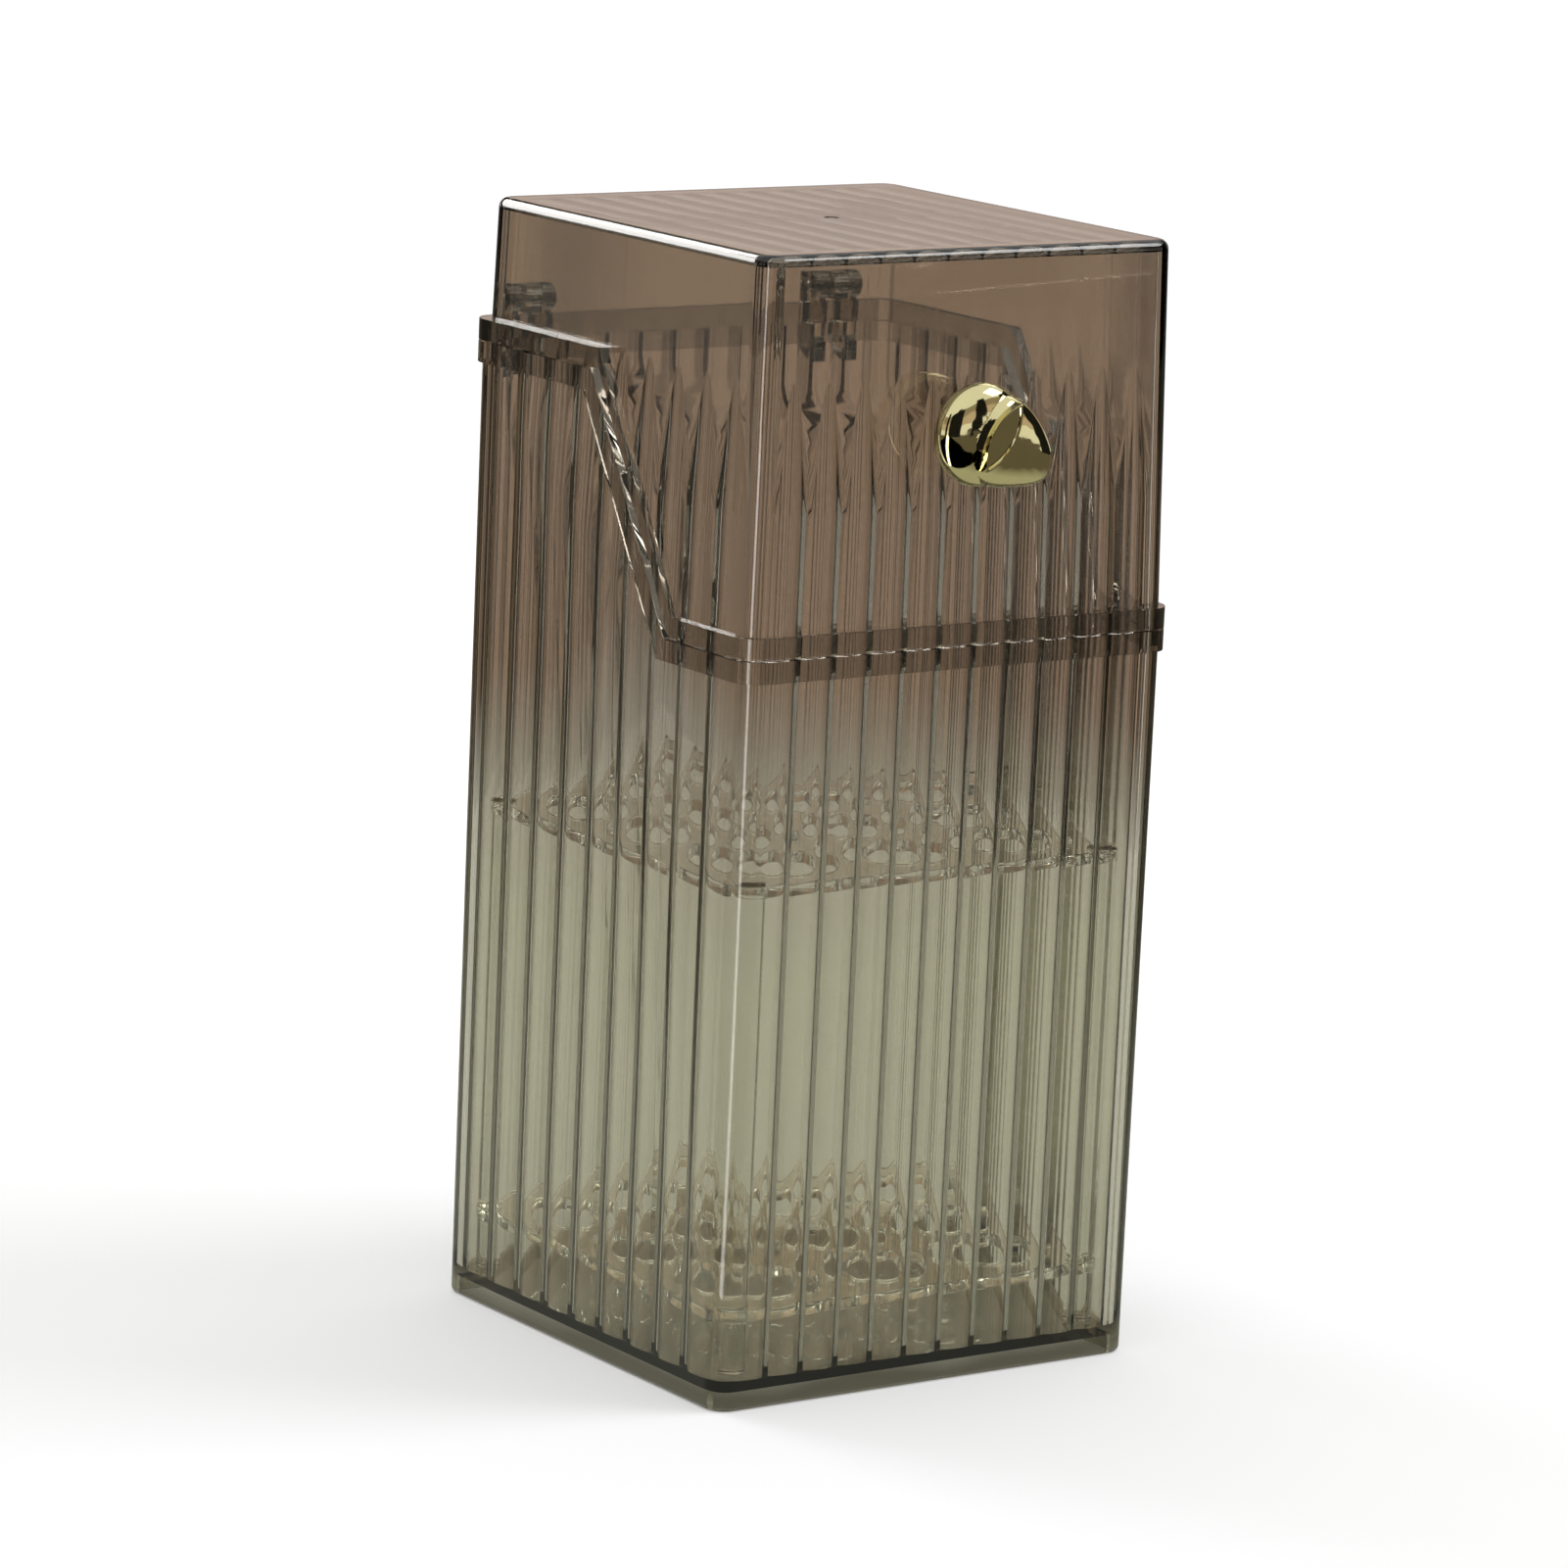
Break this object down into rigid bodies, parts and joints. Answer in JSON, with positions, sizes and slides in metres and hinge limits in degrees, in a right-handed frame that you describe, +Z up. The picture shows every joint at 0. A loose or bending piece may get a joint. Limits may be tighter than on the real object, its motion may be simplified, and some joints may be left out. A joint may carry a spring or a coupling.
{
  "type": "makeup brush box",
  "caption": "Tall square fluted smoke-plastic brush box with a slant-cut hinged lid, a gold knob and a clear lift-out rack of two perforated trays.",
  "frame": {"origin": "centre of the base, on the plane the box stands on", "axes": "+Z up, the knob faces -Y, the hinges are at +Y, +X to the right seen from the front"},
  "size_m": [0.1092, 0.1271, 0.24],
  "materials": {
    "smoke_plastic": "clear smoke-tinted polystyrene, polished",
    "clear_plastic": "clear polystyrene, polished",
    "gold_plate": "bright gold plating",
    "steel": "plain steel"
  },
  "bodies": {
    "box": {"body_shell": "smoke_plastic", "hinge_pin_left": "steel", "hinge_pin_right": "steel"},
    "lid": {"lid_shell": "smoke_plastic", "knob": "gold_plate", "knob_screw": "steel"},
    "rack": {"rack_upper_tray": "clear_plastic", "rack_lower_tray": "clear_plastic", "rack_post_front_left": "clear_plastic", "rack_post_front_right": "clear_plastic", "rack_post_rear_left": "clear_plastic", "rack_post_rear_right": "clear_plastic"}
  },
  "joints": [
    {"name": "lid_hinge", "type": "hinge", "parent": "box", "child": "lid", "pos_m": [0, 0.05578, 0.2175], "axis": [-1, 0, 0], "range_deg": [0, 105]},
    {"name": "rack_lift", "type": "slide", "parent": "box", "child": "rack", "axis": [0, 0, 1], "range_m": [0, 0.089]}
  ]
}
